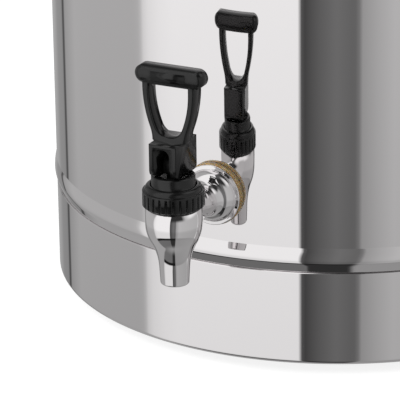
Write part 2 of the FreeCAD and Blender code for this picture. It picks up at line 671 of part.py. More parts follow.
def make_handle_fasteners():
    """Four screws that hold the side handles from inside the tank, each through a silicone seal."""
    wall = f"sqrt({INSIDE} ^ 2 - handle_half ^ 2)"
    head = f"({wall} - seal_thick)"
    screws = new_body("handle_screws", several=True)
    seals = new_body("handle_seals", several=True)
    for side, backwards in (("right", False), ("left", True)):
        sign = "-" if backwards else ""
        for way, across in (("front", "-handle_half"), ("rear", "handle_half")):
            name = f"{side}_{way}"
            sketch = new_sketch(screws, name + "_screw_head", "YZ_Plane",
                                out=f"{sign}({head} - screw_head_height)")
            draw_circle(sketch, across, "handle_height", "screw_head")
            pad(screws, sketch, "screw_head_height", backwards=backwards)
            sketch = new_sketch(screws, name + "_screw_shank", "YZ_Plane", out=f"{sign}{head}")
            draw_circle(sketch, across, "handle_height", "screw_radius")
            pad(screws, sketch, f"body_radius + screw_grip - {head}", backwards=backwards)
            sketch = new_sketch(seals, name + "_seal", "YZ_Plane", out=f"{sign}{head}")
            draw_circle(sketch, across, "handle_height", "seal_radius")
            draw_circle(sketch, across, "handle_height", "screw_radius")
            pad(seals, sketch, "2 * seal_thick", backwards=backwards)
    trim = new_sketch(seals, "seal_wall", "XZ_Plane")
    draw(trim, rectangle(INSIDE, "handle_height - 2 * seal_radius", "body_radius + 20",
                         "handle_height + 2 * seal_radius"))
    revolve(seals, trim, cut=True)


def ring_of_holes(body, name, count, circle, radius, depth):
    """A circle of small round holes through a floor or a cover."""
    hole = round_hole(body, name, "XY_Plane", circle, "0", radius, depth, backwards=True)
    repeat(body, hole, count)


def make_percolator():
    """The pump, the coffee basket on its stop ring, and the spreader cover on the basket."""
    low = f"({FLOOR_TOP} + pump_gap)"
    neck = f"({low} + pump_foot_height)"
    turned("pump_foot", [
        ("pump_foot_radius - pump_wall", low),
        ("pump_foot_radius", low),
        ("pump_foot_radius", f"{low} + 4", "left", "pump_foot_height"),
        ("pump_radius + 6", f"{neck} - 5", "right", "8"),
        ("pump_radius + pump_wall", neck),
        ("pump_radius", neck),
        ("pump_radius", f"{neck} - 8"),
        ("pump_radius + 5", f"{neck} - 7", "right", "pump_foot_height - pump_wall"),
        ("pump_foot_radius - pump_wall", f"{low} + 3.4"),
    ])
    turned("pump_tube", [
        ("pump_radius - pump_wall", f"{neck} - 8"),
        ("pump_radius", f"{neck} - 8"),
        ("pump_radius", "pump_top"),
        ("pump_radius - pump_wall", "pump_top"),
    ])
    stop_top = "(basket_height - basket_clear)"
    turned("stop_ring", [
        ("pump_radius", f"{stop_top} - stop_thick"),
        ("stop_radius - 1", f"{stop_top} - stop_thick"),
        ("stop_radius", stop_top),
        ("pump_radius", stop_top),
    ])

    bore = "(pump_radius + basket_clear)"
    roll = f"({BASKET_TOP} - basket_roll)"
    basket = turned("coffee_basket", [
        (bore, "basket_height"),
        ("basket_radius - 3", "basket_height", "left", "3"),
        ("basket_radius", "basket_height + 3"),
        ("basket_radius", f"{roll} - sqrt(basket_roll ^ 2 - (basket_roll - pump_wall) ^ 2)",
         "left wide", "basket_roll"),
        ("basket_radius - pump_wall", roll),
        ("basket_radius - pump_wall", "basket_height + 3", "right", "3 - pump_wall"),
        ("basket_radius - 3", "basket_height + pump_wall"),
        (f"{bore} + pump_wall", "basket_height + pump_wall"),
        (f"{bore} + pump_wall", f"{BASKET_TOP} - 2"),
        (bore, f"{BASKET_TOP} - 2"),
    ])
    for number, (count, share) in enumerate(((12, 0.24), (18, 0.38), (24, 0.52), (30, 0.66), (36, 0.8)), 1):
        ring_of_holes(basket, f"basket_holes_{number}", count, f"basket_radius * {share}", "basket_hole",
                      "basket_height + 5")

    edge = "(basket_radius - pump_wall - cover_gap)"
    seat = f"({BASKET_TOP} + basket_clear)"
    cover = turned("spreader_cover", [
        (bore, f"{seat} - 1.6"),
        (f"{edge} - 2", f"{seat} - 1.6"),
        (edge, seat),
        ("basket_radius + 1", seat),
        ("basket_radius + 1", f"{seat} + pump_wall"),
        (f"{edge} - 0.5", f"{seat} + pump_wall"),
        (f"{edge} - 2.5", f"{seat} + pump_wall - 1.6"),
        (f"{bore} + 4", f"{seat} + pump_wall - 1.6"),
        (f"{bore} + pump_wall", f"{seat} + 5"),
        (bore, f"{seat} + 5"),
    ])
    for number, (count, share) in enumerate(((12, 0.28), (18, 0.46), (24, 0.64), (30, 0.82)), 1):
        ring_of_holes(cover, f"cover_holes_{number}", count, f"basket_radius * {share}", "cover_hole",
                      f"{BASKET_TOP} + 5")


def make_tap_body():
    """The chromed barrel with its spout, side neck, bell flange and threaded shank."""
    steep = "(curve_angle * 1deg)"
    taper = "(spout_angle * 1deg)"
    middle = f"({NUT_LOW} - curve_start - shoulder_bend * sin{steep})"
    middle_half = f"(barrel_radius - shoulder_bend * (1 - cos{steep}))"
    low = f"({middle} - waist_bend * (sin{steep} - sin{taper}))"
    low_half = f"({middle_half} - waist_bend * (cos{taper} - cos{steep}))"
    spout_half = f"({low_half} - ({low} - {SPOUT_TIP} - spout_round) * tan{taper})"
    thread_top = f"({NUT_LOW} + thread_height)"
    body = turned("tap_body", [
        ("outlet_radius", SPOUT_TIP),
        (f"{spout_half} - spout_round", SPOUT_TIP, "left", "spout_round"),
        (spout_half, f"{SPOUT_TIP} + spout_round"),
        (low_half, low, "right", "waist_bend"),
        (middle_half, middle, "left", "shoulder_bend"),
        ("barrel_radius", f"{NUT_LOW} - curve_start"),
        ("barrel_radius", NUT_LOW),
        ("thread_radius", NUT_LOW),
        ("thread_radius", thread_top),
        ("cavity_radius", thread_top),
        ("cavity_radius", SEAT),
        ("outlet_radius + 1.6", SEAT),
        ("outlet_radius", f"{SEAT} - 3"),
    ])
    wall = "tap_reach"
    face = "(tap_reach - washer_thick)"
    edge = f"({face} - flange_edge)"
    sketch = new_sketch(body, "tap_neck", "YZ_Plane", up="shank_height")
    draw(sketch, [
        ("(barrel_radius + cavity_radius) / 2", "0"),
        (f"{wall} + shank_inside", "0"),
        (f"{wall} + shank_inside", "shank_radius - 1"),
        (f"{wall} + shank_inside - 1", "shank_radius"),
        (face, "shank_radius"),
        (face, "flange_radius - 0.3"),
        (f"{face} - 0.3", "flange_radius"),
        (f"{edge} + 0.4", "flange_radius", "left", "0.4"),
        (edge, "flange_radius - 0.4"),
        (edge, "bell_radius + 0.5", "right", "0.5"),
        (f"{edge} - 0.5", "bell_radius", "left", "bell_length * 0.62"),
        (f"{edge} - bell_length * 0.55", "neck_radius + (bell_radius - neck_radius) * 0.42",
         "right", "bell_length * 0.62"),
        (f"{edge} - bell_length", "neck_radius"),
        ("(barrel_radius + cavity_radius) / 2", "neck_radius"),
    ])
    revolve(body, sketch, axis="H_Axis")
    sketch = new_sketch(body, "water_way", "YZ_Plane", up="shank_height")
    draw(sketch, rectangle("cavity_radius / 2", "0", f"{wall} + shank_inside + 1", "passage_radius"))
    revolve(body, sketch, axis="H_Axis", cut=True)
    place(body, forward=f"-{BARREL}")


def make_shank_ring(name, low, high, inner, outer, wall_low=None, wall_high=None):
    """A ring on the tap's shank. Its faces stand that far from the urn's axis, or follow the tank wall."""
    ring = new_body(name)
    sketch = new_sketch(ring, name + "_outline", "YZ_Plane", up="shank_height")
    draw(sketch, rectangle(low, inner, high, outer))
    revolve(ring, sketch, axis="H_Axis")
    if wall_low:
        trim = new_sketch(ring, name + "_wall", "YZ_Plane")
        reach = f"({outer} + 5)"
        draw(trim, rectangle(wall_low, f"shank_height - {reach}", wall_high, f"shank_height + {reach}"))
        revolve(ring, trim, cut=True)
    place(ring, turn=180)
    return ring


def make_shank_rings():
    """The washers on both sides of the tank wall and the nut that draws the tap tight."""
    make_shank_ring("tap_outer_washer", "body_radius - 2", "body_radius + washer_thick",
                    "shank_radius", "washer_radius", wall_low="0", wall_high="body_radius")
    inner_face = f"({INSIDE} - washer_thick)"
    make_shank_ring("tap_inner_washer", inner_face, "body_radius + 1",
                    "shank_radius", "washer_radius", wall_low=INSIDE, wall_high="body_radius + 5")
    nut = new_body("tap_lock_nut")
    sketch = new_sketch(nut, "lock_nut_outline", "XZ_Plane", up="shank_height",
                        out=f"{inner_face} - lock_thick")
    draw(sketch, hexagon("0", "lock_flats"))
    draw_circle(sketch, "0", "0", "shank_radius")
    pad(nut, sketch, "lock_thick")


def make_bonnet():
    """The ribbed bonnet nut, and the bonnet that it holds on the barrel."""
    flange_low = f"({NUT_LOW} + thread_height)"
    flange_top = f"({flange_low} + bonnet_flange)"
    bore = "(thread_radius + thread_clear)"
    top = f"({NUT_LOW} + bonnet_nut_height)"
    ribs = f"({NUT_LOW} + bonnet_nut_ribs)"
    shoulder = f"(bonnet_nut_shoulder - bonnet_nut_mouth)"
    nut = turned("bonnet_nut", [
        (bore, NUT_LOW),
        ("bonnet_nut_radius - 0.5", NUT_LOW),
        ("bonnet_nut_radius", f"{NUT_LOW} + 0.5"),
        ("bonnet_nut_radius", f"{ribs} - 0.5", "left", "0.5"),
        ("bonnet_nut_radius - 0.5", ribs),
        ("bonnet_nut_shoulder", ribs),
        ("bonnet_nut_shoulder", f"{top} - {shoulder}", "left", shoulder),
        ("bonnet_nut_mouth", top),
        ("bonnet_nut_mouth", flange_top),
        (bore, flange_top),
    ])
    sketch = new_sketch(nut, "flute", "XY_Plane", out=f"{NUT_LOW} - 1")
    draw_circle(sketch, "bonnet_nut_radius + 0.1", "0", "flute_radius")
    flute = pocket(nut, sketch, "bonnet_nut_ribs", backwards=True)
    repeat(nut, flute, "flute_count")
    place(nut, forward=f"-{BARREL}")

    roof = f"({BONNET_TOP} - bonnet_roof)"
    hole = "(stem_radius + stem_clear)"
    bonnet = turned("bonnet", [
        ("bonnet_bore", flange_low),
        ("thread_radius - 0.1", flange_low),
        ("thread_radius - 0.1", flange_top),
        ("bonnet_radius", flange_top),
        ("bonnet_radius", f"{BONNET_TOP} - 1", "left", "1"),
        ("bonnet_radius - 1", BONNET_TOP),
        (hole, BONNET_TOP),
        (hole, roof),
        ("bonnet_bore", roof),
    ])
    place(bonnet, forward=f"-{BARREL}")


def make_valve():
    """The stem with its flattened head, the seat cup on its lower end, and the closing spring."""
    foot = f"({CUP_LOW} + 3.5)"
    stem = turned("tap_stem", [
        ("0", foot),
        ("stem_radius + 1.5", foot),
        ("stem_radius + 1.5", f"{foot} + 1.5"),
        ("stem_radius", f"{foot} + 1.5"),
        ("stem_radius", f"{PIN} - 3"),
        ("0", f"{PIN} - 3"),
    ])
    sketch = new_sketch(stem, "stem_head", "YZ_Plane")
    draw(sketch, [
        ("-stem_head_radius", f"{PIN} - 5"),
        ("stem_head_radius", f"{PIN} - 5"),
        ("stem_head_radius", PIN, "left", "stem_head_radius"),
        ("0", f"{PIN} + stem_head_radius", "left", "stem_head_radius"),
        ("-stem_head_radius", PIN),
    ])
    pad(stem, sketch, "stem_head_width", both_sides=True)
    sketch = new_sketch(stem, "stem_pin_hole", "YZ_Plane")
    draw_circle(sketch, "0", PIN, "pin_radius + pin_clear")
    pocket(stem, sketch, "2 * stem_head_width", both_sides=True)
    place(stem, forward=f"-{BARREL}")

    cup = turned("seat_cup", [
        ("0", f"{CUP_LOW} + 1.5"),
        ("cup_radius - 2", f"{CUP_LOW} + 1.5"),
        ("cup_radius - 1.4", CUP_LOW),
        ("cup_radius - 0.4", CUP_LOW),
        ("cup_radius", f"{CUP_LOW} + 2"),
        ("cup_radius", f"{CUP_TOP} - 2"),
        ("cup_radius - 0.8", CUP_TOP),
        ("stem_radius", CUP_TOP),
        ("stem_radius", f"{foot} + 1.5"),
        ("stem_radius + 1.5", f"{foot} + 1.5"),
        ("stem_radius + 1.5", foot),
        ("0", foot),
    ])
    place(cup, forward=f"-{BARREL}")

    low = value(CUP_TOP) + value("spring_wire + spring_gap")
    high = value(f"{BONNET_TOP} - bonnet_roof") - value("spring_wire + spring_gap")
    height = high - low
    turns = value("spring_turns")
    radius = value("spring_radius")
    wire = value("spring_wire")
    helix = Part.makeHelix(height / turns, height, radius)
    start = FreeCAD.Vector(radius, 0, 0)
    along = FreeCAD.Vector(0, 2 * math.pi * radius, height / turns)
    section = Part.Wire(Part.makeCircle(wire, start, along))
    coil = Part.Wire(helix.Edges).makePipeShell([section], True, True)
    spring = document.addObject("Part::Feature", "tap_spring")
    spring.Label = "tap_spring"
    spring.Shape = coil
    spring.Placement = FreeCAD.Placement(FreeCAD.Vector(0, -value(BARREL), low), FreeCAD.Rotation())
    pieces.append(spring)


def make_tap_handle():
    """The handle: hub, finger loop and cross bar in one moulding, turned so that its front faces the user."""
    handle = new_body("tap_handle")
    loop = new_sketch(handle, "loop", "XZ_Plane")
    bends = "(loop_bow + loop_root_bend)"
    lean = f"sqrt(1 - (loop_rise / {bends}) ^ 2)"
    root = f"(loop_half - {bends} * (1 - {lean}))"
    waist = f"({root} + loop_root_bend * (1 - {lean}))"
    waist_rise = f"(loop_root_bend * loop_rise / {bends})"
    draw(loop, [
        ("-(hub_width / 2 - hub_round)", f"{HUB_TOP} - loop_sunk"),
        ("hub_width / 2 - hub_round", f"{HUB_TOP} - loop_sunk"),
        (root, HUB_TOP, "right", "loop_root_bend"),
        (waist, f"{HUB_TOP} + {waist_rise}", "left", "loop_bow"),
        ("loop_half", f"{HUB_TOP} + loop_rise"),
        ("loop_half", BAR_MIDDLE),
        ("-loop_half", BAR_MIDDLE),
        ("-loop_half", f"{HUB_TOP} + loop_rise", "left", "loop_bow"),
        (f"-{waist}", f"{HUB_TOP} + {waist_rise}", "right", "loop_root_bend"),
        (f"-{root}", HUB_TOP),
    ])
    pad(handle, loop, "loop_depth", both_sides=True)
    hole = new_sketch(handle, "finger_hole", "XZ_Plane")
    climb = "(hole_bow_rise - hole_round)"
    bow = f"((hole_half ^ 2 + {climb} ^ 2 - hole_round ^ 2) / (2 * (hole_half - hole_round)))"
    meet = f"(hole_round * ({bow} - hole_half) / ({bow} - hole_round))"
    meet_rise = f"({HOLE_LOW} + hole_round - hole_round * {climb} / ({bow} - hole_round))"
    draw(hole, [
        (f"-{meet}", meet_rise, "left", "hole_round"),
        (meet, meet_rise, "left", bow),
        ("hole_half", f"{HOLE_LOW} + hole_bow_rise"),
        ("hole_half", BAR_LOW),
        ("-hole_half", BAR_LOW),
        ("-hole_half", f"{HOLE_LOW} + hole_bow_rise", "left", bow),
    ])
    opened = pocket(handle, hole, "2 * loop_depth", both_sides=True)
    document.recompute()
    half = value("loop_depth") / 2
    soften(handle, "Chamfer", opened, edges_on(opened.Shape, "y", (half, -half)), "loop_bevel")

    end = "(bar_half - bar_height / 2)"
    top = f"({BAR_LOW} + bar_height)"
    flat = "(bar_depth / 2 - bar_bevel)"
    for name, out, length, backwards in (
        ("cross_bar", flat, f"2 * {flat}", True),
        ("cross_bar_back", flat, "bar_bevel", False),
        ("cross_bar_front", f"-{flat}", "bar_bevel", True),
    ):
        bar = new_sketch(handle, name, "XZ_Plane", out=out)
        draw(bar, [
            (f"-{end}", BAR_LOW),
            (end, BAR_LOW, "left", "bar_height / 2"),
            ("bar_half", BAR_MIDDLE, "left", "bar_height / 2"),
            (end, top),
            (f"-{end}", top, "left", "bar_height / 2"),
            ("-bar_half", BAR_MIDDLE, "left", "bar_height / 2"),
        ])
        across = pad(handle, bar, length, backwards=backwards)
        if length == "bar_bevel":
            across.TaperAngle = -45

    plate = new_sketch(handle, "bare_plate", "XZ_Plane")
    draw(plate, rectangle("-plate_half", f"{BAR_MIDDLE} - plate_height / 2",
                          "plate_half", f"{BAR_MIDDLE} + plate_height / 2"))
    pad(handle, plate, "bar_depth / 2 + plate_relief", backwards=True)

    turn = "(tilt_angle * pi / 180)"
    rate = f"(tilt_lift / {turn})"
    nose_out = f"((pin_rise + tilt_lift) * sin(tilt_angle * 1deg) + {rate} * cos(tilt_angle * 1deg))"
    nose_up = f"((pin_rise + tilt_lift) * cos(tilt_angle * 1deg) - {rate} * sin(tilt_angle * 1deg))"
    hub = new_sketch(handle, "hub", "YZ_Plane")
    draw(hub, rectangle("-hub_depth / 2", HUB_LOW, "hub_depth / 2", HUB_TOP))
    block = pad(handle, hub, "hub_width", both_sides=True)
    document.recompute()
    shape = block.Shape
    corners = []
    depth = value("hub_depth") / 2
    width = value("hub_width") / 2
    for number, edge in enumerate(shape.Edges, 1):
        spots = [v.Point for v in edge.Vertexes]
        upright = all(abs(abs(p.x) - width) < 1e-4 and abs(abs(p.y) - depth) < 1e-4 for p in spots)
        lid = all(abs(p.z - value(HUB_TOP)) < 1e-4 and abs(abs(p.y) - depth) < 1e-4 for p in spots)
        if upright or lid:
            corners.append(f"Edge{number}")
    soften(handle, "Fillet", block, corners, "hub_round")
    under = new_sketch(handle, "hub_underside", "YZ_Plane")
    draw(under, [
        (rate, f"{HUB_LOW} - 1"),
        ("hub_depth / 2 + 1", f"{HUB_LOW} - 1"),
        ("hub_depth / 2 + 1", f"{HUB_LOW} + hub_nose"),
        ("hub_depth / 2", f"{HUB_LOW} + hub_nose"),
        (nose_out, f"{PIN} - {nose_up}", "right", "pin_rise + tilt_lift / 2"),
        (rate, HUB_LOW),
    ])
    draw(under, [
        ("-hub_depth / 2 - 1", f"{HUB_LOW} - 1"),
        ("hub_heel - hub_depth / 2", f"{HUB_LOW} - 1"),
        ("hub_heel - hub_depth / 2", HUB_LOW, "right", "hub_heel"),
        ("-hub_depth / 2", f"{HUB_LOW} + hub_heel"),
        ("-hub_depth / 2 - 1", f"{HUB_LOW} + hub_heel"),
    ])
    pocket(handle, under, "hub_width + 2", both_sides=True)

    slot = new_sketch(handle, "stem_slot", "XZ_Plane", out="-hub_depth / 2 - 1")
    half = "(slot_width / 2)"
    spring_line = f"({HUB_LOW} + slot_height - {half})"
    draw(slot, [
        (f"-{half}", f"{HUB_LOW} - 1"),
        (half, f"{HUB_LOW} - 1"),
        (half, spring_line, "left", half),
        ("0", f"{spring_line} + {half}", "left", half),
        (f"-{half}", spring_line),
    ])
    pocket(handle, slot, "hub_depth / 2 + 1 + slot_back", backwards=True)
    sketch = new_sketch(handle, "hub_pin_hole", "YZ_Plane", out="hub_width / 2")
    draw_circle(sketch, "0", PIN, "pin_radius")
    pocket(handle, sketch, "hub_width - pin_skin")
    place(handle, forward=f"-{BARREL}", turn=180)

    pin = new_body("handle_pin")
    sketch = new_sketch(pin, "pin_circle", "YZ_Plane", out="pin_recess - hub_width / 2")
    draw_circle(sketch, "0", PIN, "pin_radius")
    pad(pin, sketch, "hub_width - pin_skin - 2 * pin_recess")
    place(pin, forward=f"-{BARREL}")


def make_element(name, circle, tube):
    """A ring-shaped heating element, open at the back, with its two cold ends pointing down."""
    element = new_body(name)
    middle = f"({FLOOR} - {tube})"
    sketch = new_sketch(element, name + "_section", "XZ_Plane")
    draw_circle(sketch, circle, middle, tube)
    revolve(element, sketch, angle="360 - heater_opening")
    for number, angle in enumerate(("end_inset", "(360 - heater_opening - end_inset)"), 1):
        sketch = new_sketch(element, f"{name}_end_{number}", "XY_Plane", out=f"{middle} - terminal_drop")
        draw_circle(sketch, f"{circle} * cos({angle} * 1deg)", f"{circle} * sin({angle} * 1deg)", "cold_end")
        pad(element, sketch, "terminal_drop")
    place(element, turn="90 + heater_opening / 2")


def make_heating():
    """Both heating elements, the plate that clamps them, and the thermostat and fuse beside them."""
    make_element("main_heating_element", "heater_radius", "heater_tube")
    make_element("keep_warm_element", "warmer_radius", "warmer_tube")

    main = f"({FLOOR} - 2 * heater_tube)"
    warm = f"({FLOOR} - 2 * warmer_tube)"
    step = "((heater_radius + warmer_radius) / 2)"
    hole = "(clamp_stud_radius + screw_clear)"
    plate = turned("element_clamp", [
        (hole, f"{warm} - clamp_thick"),
        (f"{step} - 2", f"{warm} - clamp_thick"),
        (f"{step} + 1.5", f"{main} - clamp_thick"),
        ("clamp_radius", f"{main} - clamp_thick"),
        ("clamp_radius", main),
        (f"{step} + 2", main),
        (f"{step} - 1.5", warm),
        (hole, warm),
    ])
    notch = new_sketch(plate, "terminal_notch", "XY_Plane")
    draw(notch, rectangle("-heater_radius / 2", "warmer_radius - 10", "heater_radius / 2", "clamp_radius + 1"))
    pocket(plate, notch, FLOOR, backwards=True)

    nut_low = f"({warm} - clamp_thick - clamp_nut_thick)"
    turned("clamp_stud", rectangle("0", f"{nut_low} - 3", "clamp_stud_radius", FLOOR))
    nut = new_body("clamp_nut")
    sketch = new_sketch(nut, "clamp_nut_outline", "XY_Plane", out=nut_low)
    draw(sketch, hexagon("0", "clamp_nut_flats"))
    draw_circle(sketch, "0", "0", "clamp_stud_radius")
    pad(nut, sketch, "clamp_nut_thick")

    case_low = f"({FLOOR} - thermostat_height)"
    thermostat = turned("thermostat", [
        ("0", case_low),
        ("thermostat_radius - 2", case_low),
        ("thermostat_radius - 2", f"{FLOOR} - 3"),
        ("thermostat_radius", f"{FLOOR} - 3"),
        ("thermostat_radius", FLOOR),
        ("0", FLOOR),
    ])
    blades = new_sketch(thermostat, "thermostat_blades", "XY_Plane", out=f"{case_low} - 8")
    for sign in ("-", ""):
        draw(blades, rectangle(f"{sign}5 - 0.4", "-3", f"{sign}5 + 0.4", "3"))
    pad(thermostat, blades, "8")
    place(thermostat, right=f"-{CONTROL_CIRCLE}")

    clip = new_body("fuse_clip")
    block = new_sketch(clip, "fuse_clip_outline", "XZ_Plane")
    draw(block, rectangle("-(fuse_radius + 1.5)", f"{FLOOR} - 2 * fuse_radius - 2", "fuse_radius + 1.5", FLOOR))
    pad(clip, block, "8", both_sides=True)
    middle = f"({FLOOR} - fuse_radius - 1)"
    seat = new_sketch(clip, "fuse_seat", "XZ_Plane")
    draw_circle(seat, "0", middle, "fuse_radius")
    pocket(clip, seat, "10", both_sides=True)
    place(clip, right=CONTROL_CIRCLE)
    fuse = new_body("thermal_fuse")
    for name, radius, length in (("fuse_case", "fuse_radius", "12"), ("fuse_leads", "0.5", "30")):
        sketch = new_sketch(fuse, name, "XZ_Plane")
        draw_circle(sketch, "0", middle, radius)
        pad(fuse, sketch, length, both_sides=True)
    place(fuse, right=CONTROL_CIRCLE)

    block = new_body("terminal_block")
    sketch = new_sketch(block, "terminal_block_outline", "XY_Plane", out="foot_gap")
    draw(sketch, rectangle("-22", CONTROL_CIRCLE, "22", f"{CONTROL_CIRCLE} + 16"))
    pad(block, sketch, "14")
    for number, across in enumerate(("-15", "-5", "5", "15"), 1):
        for way, along in (("near", "4"), ("far", "12")):
            well = new_sketch(block, f"terminal_{way}_{number}", "XY_Plane", out="foot_gap + 14")
            draw_circle(well, across, f"{CONTROL_CIRCLE} + {along}", "2.4")
            pocket(block, well, "8")


def wall_trim(body, name, half_height):
    """Cuts away what lies inside the wall's outside face, round the height of the controls."""
    sketch = new_sketch(body, name, "XZ_Plane")
    draw(sketch, rectangle("0", f"control_height - {half_height}", "body_radius",
                           f"control_height + {half_height}"))
    revolve(body, sketch, cut=True)


def facing(sketch, half_width, half_height):
    """A rectangle about the middle of a control."""
    draw(sketch, rectangle(f"-{half_width}", f"control_height - {half_height}",
                           half_width, f"control_height + {half_height}"))


def make_power_inlet():
    """The appliance inlet at the back, with its three pins. It faces +Y."""
    face = "(body_radius + inlet_stand)"
    half = "(inlet_width / 2)"
    tall = "(inlet_height / 2)"
    inlet = new_body("power_inlet")
    sketch = new_sketch(inlet, "inlet_flange_outline", "XZ_Plane", out=f"-{face}")
    facing(sketch, f"({half} + inlet_flange)", f"({tall} + inlet_flange)")
    pad(inlet, sketch, "inlet_stand + 3")
    wall_trim(inlet, "inlet_wall_face", "inlet_height")
    sketch = new_sketch(inlet, "inlet_case", "XZ_Plane", out=f"-{face}")
    facing(sketch, half, tall)
    pad(inlet, sketch, "inlet_stand + inlet_depth")
    sketch = new_sketch(inlet, "inlet_socket_outline", "XZ_Plane", out=f"-{face}")
    facing(sketch, f"({half} - inlet_wall)", f"({tall} - inlet_wall)")
    pocket(inlet, sketch, "inlet_socket", backwards=True)

    pins = new_body("inlet_pins", several=True)
    shapes = [new_sketch(inlet, "inlet_pin_holes", "XZ_Plane", out=f"-{face}"),
              new_sketch(pins, "inlet_pin_outlines", "XZ_Plane",
                         out=f"-({face} - inlet_socket + inlet_pin_length)")]
    for sketch in shapes:
        for shift in ("- inlet_pin_space", "+ 0", "+ inlet_pin_space"):
            draw(sketch, rectangle(f"-inlet_pin_thick / 2 {shift}", "control_height - inlet_pin_width / 2",
                                   f"inlet_pin_thick / 2 {shift}", "control_height + inlet_pin_width / 2"))
    pocket(inlet, shapes[0], "inlet_stand + inlet_depth + 1", backwards=True)
    pad(pins, shapes[1], "inlet_pin_length + inlet_depth + inlet_stand - inlet_socket + blade_length")


def make_lamp():
    """The ready lamp and its bezel, to the right of the tap."""
    lamp = new_body("ready_lamp")
    sketch = new_sketch(lamp, "lamp_outline", "XZ_Plane", out="body_radius - lamp_depth")
    draw_circle(sketch, "0", "control_height", "lamp_radius")
    glass = pad(lamp, sketch, "lamp_depth + lamp_stand")
    document.recompute()
    front = -value("body_radius + lamp_stand")
    soften(lamp, "Fillet", glass, edges_on(glass.Shape, "y", (front,)), "lamp_round")
    place(lamp, turn="lamp_angle")

    bezel = new_body("lamp_bezel")
    sketch = new_sketch(bezel, "bezel_outline", "XZ_Plane", out="body_radius - 1")
    draw_circle(sketch, "0", "control_height", "lamp_bezel")
    draw_circle(sketch, "0", "control_height", "lamp_radius")
    pad(bezel, sketch, "1 + lamp_stand / 2")
    wall_trim(bezel, "bezel_wall_face", "(2 * lamp_bezel)")
    place(bezel, turn="lamp_angle")


def make_switch():
    """The power switch: a housing in the band, and a rocker that turns on its trunnions."""
    half = "(switch_width / 2)"
    tall = "(switch_height / 2)"
    face = "(body_radius + switch_flange)"
    housing = new_body("switch_housing")
    sketch = new_sketch(housing, "switch_frame", "XZ_Plane", out="body_radius - 2")
    facing(sketch, half, tall)
    pad(housing, sketch, "2 + switch_flange")
    wall_trim(housing, "switch_wall_face", "switch_height")
    sketch = new_sketch(housing, "switch_case", "XZ_Plane", out="body_radius - switch_depth")
    facing(sketch, f"({half} - switch_lip / 2)", f"({tall} - switch_lip / 2)")
    pad(housing, sketch, "switch_depth + switch_flange")
    sketch = new_sketch(housing, "rocker_well", "XZ_Plane", out=face)
    facing(sketch, f"({half} - switch_lip)", f"({tall} - switch_lip)")
    pocket(housing, sketch, "switch_well")
    pivot = f"({face} - rocker_depth)"
    sketch = new_sketch(housing, "trunnion_holes", "YZ_Plane")
    draw_circle(sketch, f"-{pivot}", "control_height", "rocker_pivot + pin_clear")
    pocket(housing, sketch, "switch_width", both_sides=True)
    place(housing, turn="switch_angle")

    cosine = "cos(rocker_angle / 2 * 1deg)"
    sine = "sin(rocker_angle / 2 * 1deg)"
    end = f"({tall} - switch_lip - rocker_gap - 0.75)"
    outline = [("-2.2", "-2.5"), ("2.5", f"-({end} + 0.2)"), ("rocker_depth + 1", f"-{end}"),
               ("rocker_depth - 0.4", "0"),
               ("rocker_depth + 1", end), ("2.5", f"({end} + 0.2)"), ("-2.2", "2.5")]
    rocker = new_body("switch_rocker")
    sketch = new_sketch(rocker, "rocker_outline", "YZ_Plane")
    draw(sketch, [
        (f"-({pivot} + ({out}) * {cosine} - ({up}) * {sine})",
         f"control_height + ({out}) * {sine} + ({up}) * {cosine}")
        for out, up in reversed(outline)
    ])
    pad(rocker, sketch, "switch_width - 2 * switch_lip - 2 * rocker_gap", both_sides=True)
    sketch = new_sketch(rocker, "trunnions", "YZ_Plane")
    draw_circle(sketch, f"-{pivot}", "control_height", "rocker_pivot")
    pad(rocker, sketch, "switch_width - switch_lip - 0.4", both_sides=True)
    place(rocker, turn="switch_angle")


make_tank()
make_base()
make_lid()
make_side_handle("right_side_handle", 0)
make_side_handle("left_side_handle", 180)
make_handle_fasteners()
make_percolator()
make_tap_body()
make_shank_rings()
make_bonnet()
make_valve()
make_tap_handle()
make_heating()
make_power_inlet()
make_lamp()
make_switch()
document.recompute()

for thing in document.Objects:
    if "Invalid" in thing.State or "Error" in thing.State:
        raise ValueError(f"{thing.Label} is in state {thing.State}")

os.makedirs("parts", exist_ok=True)
for piece in pieces:
    if piece.Shape.isNull() or not piece.Shape.isValid():
        raise ValueError(f"{piece.Label} has no valid shape")
    piece.Shape.exportStep(f"parts/{piece.Label}.step")
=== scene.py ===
import json
import math

import bpy
from mathutils import Matrix, Vector


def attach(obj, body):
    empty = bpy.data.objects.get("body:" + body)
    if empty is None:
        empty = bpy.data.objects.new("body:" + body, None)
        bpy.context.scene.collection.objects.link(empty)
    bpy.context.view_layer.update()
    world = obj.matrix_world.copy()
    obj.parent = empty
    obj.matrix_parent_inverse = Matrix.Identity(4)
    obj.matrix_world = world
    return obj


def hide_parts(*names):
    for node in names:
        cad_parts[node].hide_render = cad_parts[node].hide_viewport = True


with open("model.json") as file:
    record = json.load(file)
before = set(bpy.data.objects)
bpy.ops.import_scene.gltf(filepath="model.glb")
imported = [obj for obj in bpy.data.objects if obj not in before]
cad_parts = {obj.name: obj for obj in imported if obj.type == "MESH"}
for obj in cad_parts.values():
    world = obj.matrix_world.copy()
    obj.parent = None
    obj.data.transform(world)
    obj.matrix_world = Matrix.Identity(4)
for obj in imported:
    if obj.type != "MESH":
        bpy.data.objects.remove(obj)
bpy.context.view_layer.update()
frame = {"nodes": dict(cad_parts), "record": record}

nodes = frame["nodes"]
MM = 0.001

# Camera: the photograph's, fitted to the tap, the bead and the lower edge.
VIEW_AZIMUTH = 24.0        # degrees from the tap, to its right
CAMERA_DISTANCE = 1.8      # metres from the urn's axis
CAMERA_HEIGHT = 0.7291     # metres above the table
CAMERA_YAW = 2.432
CAMERA_PITCH = 20.977
CAMERA_ROLL = -0.871
CAMERA_LENS = 312.0        # millimetres on a 36 mm sensor


# Materials

